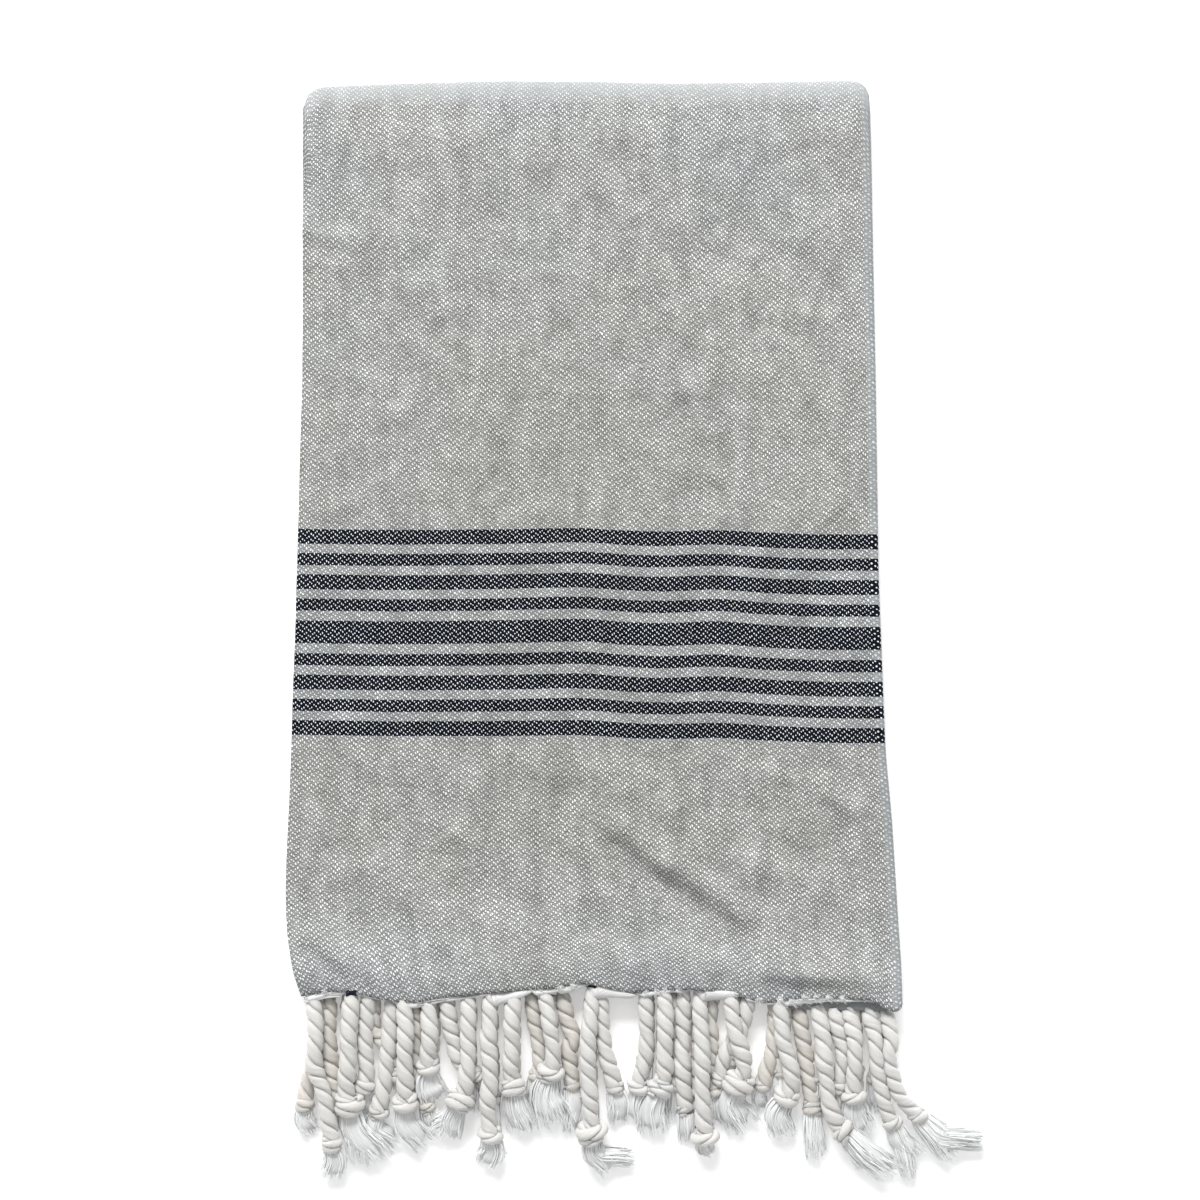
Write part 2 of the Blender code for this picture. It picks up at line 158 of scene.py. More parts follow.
# Tassels: bed, knot width, the rope's path as x, y from its root on, and the tips of its
# tuft as x, y, spread. Those on the low bed are of the back comb, the others of the front.
TASSELS = (
    ("high", 9.2, (-115.5, 4, -114.5, -14, -114.5, -27, -111, -38, -109.5, -48, -107.5, -60),
     (-109, -75, 6)),
    ("low", 8.5, (-112, 3, -113, -21, -118, -35, -119, -44), (-115, -56, 5)),
    ("low", 8.5, (-109, 3, -109.5, -14, -107, -36, -104, -44), (-101, -57, 4)),
    ("high", 13.5, (-99.5, 4, -100.5, -12, -101, -27, -101, -37, -100, -43),
     (-86, -68, 7, -96, -69, 5)),
    ("middle", 9.5, (-92.5, 4, -94, -18, -93, -29, -94, -36), (-92, -50, 4)),
    ("low", 8.5, (-90.5, 4, -90.5, -12, -85.5, -19, -80, -32), (-79, -48, 4)),
    ("middle", 9, (-82.5, 3, -83.5, -10, -84, -18, -85.5, -29, -86.5, -40, -88, -47),
     (-80, -60, 5)),
    ("high", 11.7, (-78.5, 2, -77, -12, -77.5, -23, -77, -33, -77, -43), (-68, -62, 5.5)),
    ("low", 7.5, (-73, 2, -72.5, -12, -72.5, -27, -68, -45), (-66, -55, 3.5)),
    ("high", 10.4, (-67.5, 2, -67, -14, -67.5, -22, -67.5, -28), (-64, -44, 7)),
    ("middle", 8.5, (-60.5, 2, -59, -10, -57, -18, -55, -25, -47, -32), (-44, -45, 4)),
    ("high", 13, (-51, 3, -51, -10, -50.5, -20, -51, -29, -51.5, -36, -54, -42),
     (-59, -59, 6.5, -66, -54, 4)),
    ("high", 11, (-42, 3, -41.5, -10, -42, -20, -41.5, -31, -42.5, -43, -42, -52, -41.5, -56),
     (-45, -70, 6, -37, -68, 4)),
    ("high", 11, (-31, 4, -32.5, -10, -32.5, -18, -33.5, -27, -32, -37), (-26, -57, 7)),
    ("low", 8, (-25, 4, -23.5, -8, -22, -16, -21, -24, -22, -32), (-23, -44, 4)),
    ("high", 12, (-19, 4, -17.5, -8, -15.5, -17, -15, -23, -16.3, -30), (-13, -54, 8)),
    ("low", 7, (-11.5, 4, -9.5, -8, -7, -16, -8.5, -23, -7.5, -36), (-7.5, -57, 4)),
    ("high", 14, (1, 5, -0.5, -14, -0.8, -27, 0, -44, 1, -55), (19, -67, 5, 10, -73, 6)),
    ("middle", 8, (4, 3, 6, -18, 9, -30, 10.5, -37), (11.5, -53, 4.5)),
    ("middle", 10.8, (23, 4, 23.3, -11, 23.3, -22, 21, -32, 20.4, -36), (21, -53, 5)),
    ("high", 11, (30.5, 4, 31.3, -11, 31, -22, 31.5, -30, 29, -37), (27, -57, 7)),
    ("low", 8, (35, 4, 35.5, -18, 36, -28, 36, -36), (36, -50, 4)),
    ("middle", 7, (39, 4, 38.8, -13, 38.8, -27, 39.2, -38, 39.6, -46), (39.6, -60, 3.5)),
    ("high", 12.5, (45, 4, 46.7, -13, 46.7, -27, 46.7, -38, 47.5, -50, 48, -57), (52, -64, 4)),
    ("low", 7.5, (51, 4, 50.5, -18, 51.5, -30, 52, -38), (53.5, -53, 4)),
    ("middle", 9, (66.5, 3, 63.5, -11, 60.5, -17, 57.5, -22, 55.5, -27, 54.5, -33), (58, -46, 4)),
    ("high", 14, (58, 3, 59.5, -8, 61.3, -16, 63.8, -23, 64.5, -29, 62, -35), (65, -55, 7.5)),
    ("high", 11.7, (79, 2, 80.5, -13, 82, -22, 84, -30, 84, -36, 82, -40), (81.5, -59, 7)),
    ("low", 7.5, (77.5, 2, 77, -17, 74, -28, 72, -36), (72.5, -47, 3)),
    ("low", 8.5, (87, -2, 89, -18, 91.5, -32, 92.7, -46), (95, -68, 5)),
    ("inner", 11, (94, -3, 96.7, -15, 97.5, -25, 98.8, -35, 99.6, -44, 102, -51, 106, -55),
     (128, -73, 7, 117, -70, 5)),
    ("middle", 8, (102, -3, 103.5, -13, 105.5, -25, 104, -36), (104, -49, 4)),
    ("inner", 11.2, (107.5, -3.2, 110, -16, 110.4, -25, 109.6, -34, 110, -40), (114, -57, 6.5)),
    ("inner", 8.8, (115.5, -3.2, 118.3, -15, 119.6, -25, 120.8, -35, 123, -44, 126, -51),
     (137, -67, 6, 134, -75, 3.5)),
    ("inner", 8.8, (123, -3.4, 125, -16, 124.3, -25, 126.3, -33, 129.6, -40, 133.5, -45, 136.5,
      -48), (165, -59, 5, 153, -66, 6)),
)
# Bare warp bundled along the hem between the tassels, left to right: from x, to x,
# how far below the hem it starts, half width in the cloth's plane.
ROVINGS = (
    (-119, -100, 0.3, 1.5), (-119, -104, 1.9, 0.6), (-97, -80, 0.0, 0.5), (-82, -45, -0.2, 1.4),
    (-62, -38, 0.0, 0.9), (-42, -22, -0.2, 3.4), (-24, -8, 0.0, 1.5), (-14, 1, 0.0, 1.5),
    (0, 22, -0.3, 3.6), (20, 43, 0.0, 1.1), (45, 64, -0.3, 3.4), (64, 79, 0.0, 0.9),
    (79, 109, 0.0, 1.3), (100, 124, 0.2, 0.7),
)
# Loose thread ends on the hem: x, length, lean, and how far they spread.
FRAYS = ((-110, 2, -2, 1.4), (-13, 2.5, 3, 1.4), (-8, 2.5, 4, 1.4), (22, 2, 4, 1.6),
         (27, 2.5, 4, 1.8), (32, 2.5, -3, 1.6), (36, 2, 4, 1.5), (70, 2, 2, 1.4),
         (78, 2.5, 4, 1.8), (83, 3, 5, 2.0), (88, 2, 5, 1.8), (93, 2, 5, 1.6),
         (98, 1.5, 5, 1.5), (104, 1.5, 4, 1.2), (115, 1.5, 3, 1.2))
# Tails of the stripe's weft and of the sewing thread, caught on the hem: x, y above
# the hem, run, rise, and how many lie side by side.
NAVY_TAILS = ((-101.5, 0.2, 4.6, 0.7, 4), (-0.8, 0.6, 3.6, -0.6, 4))
GREY_TAILS = ((-118, -0.9, 9, 0.7, 1), (-112, -1.2, 10, 0.9, 1), (-84, 0.3, 22, -0.6, 1),
              (-72, -1.1, 6, 0.8, 2), (-70, -0.4, 24, 0.2, 1), (-24, 0.8, 5, -2.2, 1),
              (-21, -1.0, 5, 2.0, 1), (-19, 0.2, 9, -0.6, 1), (8, 0.2, 12, -0.8, 1),
              (27, 0.8, 10, -1.4, 1), (33, -0.6, 8, 1.2, 1), (54, -0.8, 12, 0.8, 1),
              (80, 0.2, 14, -0.9, 1), (92, -0.9, 12, 1.2, 1))
STITCH_PITCH = 1.7 * MM
KNOT_WIDTH = 10.4             # of the coil in the knot tree, before it is scaled
LOWEST_FIBRE = 0.4 * MM
HEM_HEIGHT = 10.6             # middle of the top layer at the hem
AGED_TINT, SHADED_TINT = (0.93, 0.9, 0.84), (0.955, 0.93, 0.9)
SEWING_THREAD, WHIPPING_THREAD = (0.22, 0.23, 0.22), (0.66, 0.69, 0.72)
# Tassels under the others, of the same comb as the lowest: place across, length.
UNDERNEATH = ((-101, 40), (-78, 42), (-66, 33), (-51, 40), (-42, 52), (-32, 42), (-16, 40),
              (0, 52), (24, 33), (31, 38), (46, 50), (61, 30), (81, 38), (97, 42), (110, 38),
              (120, 40))

# ---- stage, metres
FLOOR_SIDES, FLOOR_RADIUS, FLOOR_Z = 96, 4, -0.0002
LAMP_SIZE, LAMP_PLACE = (1.8, 1.0), (-0.5, 2.6, 2.2)
CAMERA_HEIGHT = 1.3
AIM = (4.17, 166.67)          # the camera's place over the towel's layout, millimetres


# ======================================================================== settings

def length_setting(name, description, value):
    return FloatProperty(name=name, description=description, default=value, unit="LENGTH")


def number_setting(name, description, value):
    return FloatProperty(name=name, description=description, default=value)


def colour_setting(name, description, value):
    return FloatVectorProperty(
        name=name, description=description, size=3, subtype="COLOR", default=value)


class ClothSettings(bpy.types.PropertyGroup):
    """Sizes and colours of the woven sheet"""
    sheet: length_setting("Sheet thickness", "Thickness of one layer of cloth", 1.0 * MM)
    relief: length_setting("Thread relief", "How far warp threads stand over weft", 0.32 * MM)
    warp: colour_setting("Warp", "Undyed white warp thread", (0.80, 0.825, 0.83))
    weft: colour_setting("Weft", "Taupe weft thread of the ground", (0.336, 0.34, 0.327))
    stripe: colour_setting("Stripe", "Navy weft thread of the stripes", (0.004, 0.007, 0.015))


class FringeSettings(bpy.types.PropertyGroup):
    """Sizes and colours of the tassels"""
    lay: length_setting("Lay", "Length of rope in which a ply turns once", 14.0 * MM)
    ply_offset: length_setting("Ply offset", "Middle of a ply from the rope's", 1.35 * MM)
    strands: IntProperty(
        name="Fibres", description="Loose fibres in one tip of a tuft", default=110)
    yarn: colour_setting("Yarn", "Unbleached cotton of the ropes", (0.665, 0.66, 0.642))
    fibre: colour_setting("Loose fibre", "Opened cotton of the tufts", (0.80, 0.81, 0.81))


class StageSettings(bpy.types.PropertyGroup):
    """The floor, the light and the camera"""
    floor: colour_setting("Floor", "Plain pale floor", (0.92, 0.92, 0.92))
    ambient: number_setting("Ambient", "Light from all round", 0.62)
    glow: number_setting("Floor glow", "Light that comes up through the floor", 0.3)
    lamp: number_setting("Lamp power", "Soft light from beyond the top fold", 136.0)
    width: length_setting("View width", "Width that the camera takes in at the towel", 0.5)


# ======================================================================== node writing

class Value:
    """A node's output socket whose arithmetic adds Math nodes."""

    def __init__(self, graph, socket):
        self.graph, self.socket = graph, socket

    def maths(self, operation, *values):
        return self.graph.node("ShaderNodeMath", dict(enumerate(values)), operation=operation)

    def __gt__(self, other): return self.maths("GREATER_THAN", self, other)
    def __lt__(self, other): return self.maths("LESS_THAN", self, other)
    def __abs__(self): return self.maths("ABSOLUTE", self)
    def __floor__(self): return self.maths("FLOOR", self)

    def sine(self): return self.maths("SINE", self)
    def cosine(self): return self.maths("COSINE", self)
    def least(self, other): return self.maths("MINIMUM", self, other)
    def most(self, other): return self.maths("MAXIMUM", self, other)

    def soft(self, start, end):
        """0 at start, 1 at end, smooth between."""
        return self.graph.node("ShaderNodeMapRange", {
            "Value": self, "From Min": start, "From Max": end}, interpolation_type="SMOOTHSTEP")


def arithmetic(name, operation):
    """Gives Value an operator, and the same one from the right."""
    setattr(Value, f"__{name}__", lambda self, other: self.maths(operation, self, other))
    setattr(Value, f"__r{name}__", lambda self, other: self.maths(operation, other, self))


for pair in (("add", "ADD"), ("sub", "SUBTRACT"), ("mul", "MULTIPLY"),
             ("truediv", "DIVIDE"), ("pow", "POWER"), ("mod", "FLOORED_MODULO")):
    arithmetic(*pair)


class Graph:
    """Writes nodes into one tree."""

    def __init__(self, tree):
        self.tree = tree
        tree.nodes.clear()

    def node(self, kind, inputs=None, out=0, **settings):
        """Adds a node: its settings first, then its sockets by name or number."""
        made = self.tree.nodes.new(kind)
        for name, setting in settings.items():
            setattr(made, name, setting)
        for key, given in (inputs or {}).items():
            if isinstance(given, Value):
                self.tree.links.new(given.socket, made.inputs[key])
            else:
                made.inputs[key].default_value = given
        return Value(self, made.outputs[out]) if made.outputs else made

    def geo(self, kind, inputs=None, out=0, **settings):
        return self.node("GeometryNode" + kind, inputs, out, **settings)

    # vectors, colours and chance
    def vector(self, x=0.0, y=0.0, z=0.0):
        return self.node("ShaderNodeCombineXYZ", {"X": x, "Y": y, "Z": z})

    def parts(self, vector):
        return [self.node("ShaderNodeSeparateXYZ", {0: vector}, out) for out in range(3)]

    def vectors(self, operation, *values):
        return self.node("ShaderNodeVectorMath", dict(enumerate(values)), operation=operation)

    def scaled(self, vector, amount):
        return self.node("ShaderNodeVectorMath", {0: vector, "Scale": amount}, operation="SCALE")

    def blend(self, factor, first, second):
        """Mixes two colours."""
        return self.node("ShaderNodeMix", {0: factor, 6: first, 7: second}, 2, data_type="RGBA")

    def tint(self, first, second):
        """Multiplies two colours."""
        return self.node("ShaderNodeMix", {0: 1.0, 6: first, 7: second}, 2,
                         data_type="RGBA", blend_type="MULTIPLY")

    def noise(self, vector, scale, detail=2.0, out=0):
        return self.node("ShaderNodeTexNoise",
                         {"Vector": vector, "Scale": scale, "Detail": detail}, out)

    def astray(self, vector, scale, amount):
        """A smooth random offset, up to half the amount each way."""
        noise = self.noise(vector, scale, 1.0, 1)
        return self.scaled(self.vectors("SUBTRACT", noise, (0.5, 0.5, 0.5)), amount)

    def speck(self, x, y):
        """A random value of its own for each whole x and y."""
        return self.node("ShaderNodeTexWhiteNoise", {"Vector": self.vector(x, y)},
                         noise_dimensions="2D")

    def chance(self, low, high, ident, seed):
        return self.node("FunctionNodeRandomValue",
                         {2: low, 3: high, "ID": ident, "Seed": seed}, 1, data_type="FLOAT")

    # fields and geometry
    def place(self):
        return self.geo("InputPosition")

    def run(self):
        """How far along its path a point lies: as a share, and in metres."""
        return [self.geo("SplineParameter", None, out) for out in (0, 1)]

    def attribute(self, name, data="FLOAT"):
        return self.geo("InputNamedAttribute", {"Name": name}, data_type=data)

    def store(self, geometry, name, value, data="FLOAT", domain="POINT"):
        return self.geo("StoreNamedAttribute", {
            "Geometry": geometry, "Name": name, "Value": value}, data_type=data, domain=domain)

    def join(self, *parts):
        made = self.tree.nodes.new("GeometryNodeJoinGeometry")
        for part in reversed(parts):
            self.tree.links.new(part.socket, made.inputs[0])
        return Value(self, made.outputs[0])

    def move(self, geometry, **given):
        """Moves points by an Offset, or to a Position."""
        return self.geo("SetPosition", {"Geometry": geometry, **given})

    def smooth_path(self):
        """The paths of the base object, as smooth curves."""
        base = self.tree.nodes["Group Input"].outputs["Geometry"]
        return self.geo("CurveSplineType", {"Curve": Value(self, base)}, spline_type="CATMULL_ROM")

    def resample(self, path, mode, amount):
        return self.geo("ResampleCurve", {"Curve": path, mode.title(): amount}, mode=mode)

    def ring(self, sides, depth=1.0, width=1.0, shift=0.0):
        """A profile whose points keep their place round it."""
        ring = self.geo("CurvePrimitiveCircle", {"Resolution": sides, "Radius": 1.0})
        ring = self.store(ring, "around", self.place(), "FLOAT_VECTOR")
        return self.geo("Transform", {"Geometry": ring, "Translation": self.vector(shift),
                                      "Scale": self.vector(depth, width, 1.0)})

    def sweep(self, path, profile, radius, caps=True):
        """A tube along each path: the profile, times the radius."""
        path = self.geo("SetCurveRadius", {"Curve": path, "Radius": radius})
        return self.geo("CurveToMesh", {"Curve": path, "Profile Curve": profile,
                                        "Fill Caps": caps, "Scale": self.geo("InputRadius")})

    def instances(self, points, rotation, scale, seed, **given):
        """One instance on each point, with a luck of its own."""
        made = self.geo("InstanceOnPoints", {
            "Points": points, "Rotation": rotation, "Scale": scale,
            **{key.replace("_", " "): value for key, value in given.items()}})
        luck = self.chance(0.0, 1.0, self.geo("InputIndex"), seed)
        return self.store(made, "luck", luck, domain="INSTANCE")

    def turn(self, x, y, z):
        return self.node("FunctionNodeEulerToRotation", {"Euler": self.vector(x, y, z)})

    # what a material ends with
    def bump(self, height, distance, strength):
        return self.node("ShaderNodeBump", {
            "Height": height, "Distance": distance, "Strength": strength})

    def surface(self, sockets):
        shader = self.node("ShaderNodeBsdfPrincipled", sockets)
        self.node("ShaderNodeOutputMaterial", {"Surface": shader})


def colour(tone):
    return (*tone, 1.0)


def grey(level):
    return (level, level, level, 1.0)


def shade(tone, by):
    """A colour made darker, or lighter up to white."""
    return colour([min(1.0, c * by) for c in tone])


def new_material(name):
    made = bpy.data.materials.new(name)
    made.use_nodes = True
    return made, Graph(made.node_tree)


def new_tree(name, sizes):
    """A Geometry Nodes tree with a geometry input and named sizes."""
    tree = bpy.data.node_groups.new(name, "GeometryNodeTree")
    tree.interface.new_socket("Geometry", in_out="INPUT", socket_type="NodeSocketGeometry")
    for label, default in sizes.items():
        kind = "NodeSocketInt" if isinstance(default, int) else "NodeSocketFloat"
        tree.interface.new_socket(label, in_out="INPUT", socket_type=kind).default_value = default
    tree.interface.new_socket("Geometry", in_out="OUTPUT", socket_type="NodeSocketGeometry")
    graph = Graph(tree)
    source = tree.nodes.new("NodeGroupInput")
    given = {socket.name: Value(graph, socket) for socket in source.outputs if socket.name}
    return graph, given


def end_tree(graph, geometry, material):
    """Every tree ends the same way: real geometry that carries its finish."""
    real = graph.geo("RealizeInstances", {"Geometry": geometry})
    finished = graph.geo("SetMaterial", {"Geometry": real, "Material": material})
    graph.node("NodeGroupOutput", {"Geometry": finished})
    return graph.tree


def link(name, data):
    made = bpy.data.objects.new(name, data)
    bpy.context.scene.collection.objects.link(made)
    return made


def plain_mesh(base):
    """What an object's modifiers make of it, as a mesh of its own."""
    depsgraph = bpy.context.evaluated_depsgraph_get()
    return bpy.data.meshes.new_from_object(base.evaluated_get(depsgraph), depsgraph=depsgraph)


def grow(name, base, tree, sizes, material):
    """Runs a tree on a base object and keeps the result as a plain mesh piece."""
    grown = base.modifiers.new(tree.name, "NODES")
    grown.node_group = tree
    for item in tree.interface.items_tree:
        if item.in_out == "INPUT" and item.name in sizes:
            grown[item.identifier] = sizes[item.name]
    mesh = plain_mesh(base)
    mesh.name = name
    bpy.data.objects.remove(base)
    if not mesh.polygons:
        raise RuntimeError(f"{name} came out empty")
    mesh.shade_smooth()
    if not mesh.materials:
        mesh.materials.append(material)
    return link(name, mesh)


def declare(piece, node):
    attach(piece, BODY)
    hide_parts(node)
    return piece


# ======================================================================== the sheet

def along_table(rows, places, soften=0.0):
    """A table's value at many places, its corners softened."""
    xs, ys = zip(*rows)
    steps = np.linspace(-soften, soften, 7)
    return np.mean([np.interp(places + step, xs, ys) for step in steps], axis=0)


def near(distance, reach):
    """1 at a fold or hem, falling softly to 0 over its reach."""
    return np.exp(-(distance / reach) ** 2)


def ease(t):
    t = np.clip(t, 0.0, 1.0)
    return t * t * (3 - 2 * t)


def corner_drop(distance, radius):
    """How far a rounded corner falls back, at a distance in from the edge."""
    inside = np.clip(radius - np.maximum(distance, 0.0), 0.0, radius)
    return radius - np.sqrt(radius**2 - inside**2)


def ridge(x, y, crease):
    """Height of one crease over the whole layer."""
    x0, y0, x1, y1, width, rise = crease
    run_x, run_y = x1 - x0, y1 - y0
    t = np.clip(((x - x0) * run_x + (y - y0) * run_y) / (run_x**2 + run_y**2), 0.0, 1.0)
    away = np.hypot(x - x0 - t * run_x, y - y0 - t * run_y)
    return CREASE_DEPTH * rise * near(away, width)


def small_creases():
    """Short soft creases, most of them on the diagonal, all over the layer."""
    pick = np.random.default_rng(41)
    made = []
    for _ in range(SMALL_CREASES):
        x, y = pick.uniform(-118, 122), pick.uniform(4, 366)
        turn = math.radians(pick.choice((-35, -35, 30, 80)) + pick.normal(0, 18))
        run = pick.uniform(5, 16)
        rise = pick.choice((-1, 1)) * pick.uniform(0.2, 0.65)
        made.append((x, y, x + run * math.cos(turn), y + run * math.sin(turn),
                     pick.uniform(2.0, 4.5), rise))
    return made


def unevenness(x, y):
    """Fine puckers and broad waves of the top layer, from smooth noise."""
    height = np.empty(x.shape)
    for index in np.ndindex(x.shape):
        px, py = x[index], y[index]
        broad = noise.noise(Vector((px / 46, py / 60, 3.1)))
        soft = noise.noise(Vector((px / 15, py / 22, 7.7)))
        fine = noise.noise(Vector(((px + 0.4 * py) / 6.5, (py - 0.3 * px) / 8.0, 1.3)))
        height[index] = 1.3 * broad + 1.15 * soft + 0.4 * fine
    return height


def hem_puckers(x, from_hem):
    """Upright puckers that the tassels draw into the cloth over the hem."""
    wave = np.sin(x / 3.4 + 1.7 * np.sin(x / 17)) + 0.6 * np.sin(x / 1.9 + 2)
    return 0.34 * wave * near(from_hem, 9.0) + 0.4 * np.sin(x / 7.2 + 1) * near(from_hem, 26.0)


def sheet_places():
    """Places across and along the cloth: (share, angle round the fold, texture place)."""
    def side(count):
        return np.linspace(0.0, 1.0, count + 1)
    quarter = math.pi / 2
    upper, bend, lower = map(side, ACROSS_STEPS)
    fold_run = FLAT_SIZE[0] - 2 * HALF_RUN
    outer = [(s, quarter, HALF_RUN * s) for s in upper[:-1]]
    fold = [(1.0, quarter - math.pi * t, HALF_RUN + fold_run * t) for t in bend]
    inner = [(1 - s, -quarter, HALF_RUN + fold_run + HALF_RUN * s) for s in lower[1:]]
    across = np.array(outer + fold + inner).T

    front, bend, back = map(side, ALONG_STEPS)
    turns = quarter - math.pi * bend
    steps = np.hypot(np.sin(turns) * TOP_NOSE, np.cos(turns) * (LAYER_PITCH + TOP_BULGE))
    gone = np.concatenate(((0,), np.cumsum((steps[1:] + steps[:-1]) / 2)))
    gone = gone / gone[-1] * (FLAT_SIZE[1] - 2 * FLAT_RUN)
    front = [(s, quarter, FLAT_RUN * s) for s in front[:-1]]
    fold = [(1.0, turn, FLAT_RUN + run) for turn, run in zip(turns, gone)]
    back = [(1 - s, -quarter, FLAT_SIZE[1] - FLAT_RUN * (1 - s)) for s in back[1:]]
    along = np.array(front + fold + back).T
    return across[:, None, :], along[:, :, None]


def lay_sheet():
    """Points of the sheet's middle surface, and their places on the flat cloth."""
    (share, side_angle, u), (along, top_angle, v) = sheet_places()
    outer = np.sin(side_angle)
    front = top_angle > 0
    from_left, from_right = share * WIDTH, (1 - share) * WIDTH
    flat_x = LEFT + from_left
    nose = SIDE_NOSE * (1 - np.cos(side_angle))
    corner = np.maximum(corner_drop(from_left, LEFT_CORNER),
                        corner_drop(from_right + nose, RIGHT_CORNER))
    corner = corner + along_table(TOP_DROP, flat_x, 8.0)
    corner = corner * near((1 - along) * FOLD_LINE, CORNER_REACH)
    fold_y = FOLD_LINE - TOP_NOSE

    hem_x = HEM_ENDS[0] + share * (HEM_ENDS[1] - HEM_ENDS[0])
    tilt = HEM_TILT[0] + HEM_TILT[1] * hem_x
    outer_share = (outer + 1) / 2
    hem_top = along_table(TOP_HEM, hem_x, 2.5)
    hem_inner = along_table(INNER_HEM, hem_x, 2.5)
    hem = np.where(front, outer_share * hem_top + (1 - outer_share) * hem_inner, BACK_HEM)
    line = np.where(front, tilt, BACK_HEM)
    flat_y = line + along * (fold_y - line) - corner
    from_hem = along * (fold_y - line)
    flat_y = flat_y + (hem - line) * near(from_hem, SCALLOP_REACH)
    flat_y = flat_y + corner_drop(from_right + nose, HEM_CORNER) * near(from_hem, 8.0)
    bow = along_table(BAND_BOW, flat_x, 6.0) * near(flat_y - BAND_MIDDLE, BOW_REACH)
    flat_y = flat_y + np.where(front & (outer > 0), bow, 0.0)

    at_side = near(from_right, SIDE_REACH)
    at_hem = near(from_hem, HEM_REACH)
    at_top = near(fold_y - corner - flat_y, TOP_REACH)
    half = LAYER_PITCH / 2
    half_pair = half + SIDE_BULGE * at_side + HEM_BULGE * at_hem
    half_pack = half_pair + half + TOP_BULGE * at_top + HEM_PARTING * at_hem
    offset = half_pair * outer

    left = along_table(LEFT_EDGE, flat_y, 6.0) + np.where(front, 0.7 * (1 - outer), 0.7)
    fold_x = along_table(RIGHT_EDGE, flat_y, 6.0) - SIDE_NOSE
    x = left + share * (fold_x - left) + SIDE_NOSE * np.cos(side_angle)
    y = flat_y + (TOP_NOSE - half_pair + offset) * np.maximum(np.cos(top_angle), 0.0)
    z = 0.5 + half_pack + half_pair + (half_pack + offset) * np.sin(top_angle)

    top = np.where(front, outer * np.sin(top_angle), 0.0)
    top = np.maximum(top, 0.0) * np.ones_like(x)
    on_top = np.argwhere(top > 0.2)
    rows, cols = slice(0, on_top[:, 0].max() + 1), slice(0, on_top[:, 1].max() + 1)
    px, py = x[rows, cols], y[rows, cols]
    height = LIFT + unevenness(px, py)
    for crease in (*CREASES, *small_creases()):
        height += ridge(px, py, crease)
    above_hem = (from_hem + 0 * x)[rows, cols]
    height += hem_puckers(px, above_hem) - HEM_SINK * near(above_hem, SINK_REACH)
    lowest = DEEPEST + LIFT
    height = np.where(height < lowest, lowest + 0.3 * (height - lowest), height)
    fade_side, fade_top = EDGE_FADE
    settled = ease((1 - share) / fade_side) * ease((1 - along) / fade_top)
    z[rows, cols] += height * (top * settled)[rows, cols]
    points = np.stack((x, y, z), axis=-1)
    places = np.broadcast_to(np.stack(np.broadcast_arrays(u, v), axis=-1), (*x.shape, 2))
    return points, places


def grid_mesh(name, points, places, material):
    """A grid of quads with the cloth's own coordinates as its UV map."""
    rows, cols = points.shape[:2]
    world = points.reshape(-1, 3) * MM + np.array(ORIGIN)
    index = np.arange(rows * cols).reshape(rows, cols)
    faces = np.stack((index[:-1, :-1], index[:-1, 1:], index[1:, 1:], index[1:, :-1]), axis=-1)
    mesh = bpy.data.meshes.new(name)
    mesh.from_pydata(world.tolist(), [], faces.reshape(-1, 4).tolist())
    corners = np.empty(len(mesh.loops), dtype=np.int32)
    mesh.loops.foreach_get("vertex_index", corners)
    layer = mesh.uv_layers.new(name="cloth")
    layer.data.foreach_set("uv", places.reshape(-1, 2)[corners].astype(np.float32).ravel())
    mesh.materials.append(material)
    return link(name, mesh)


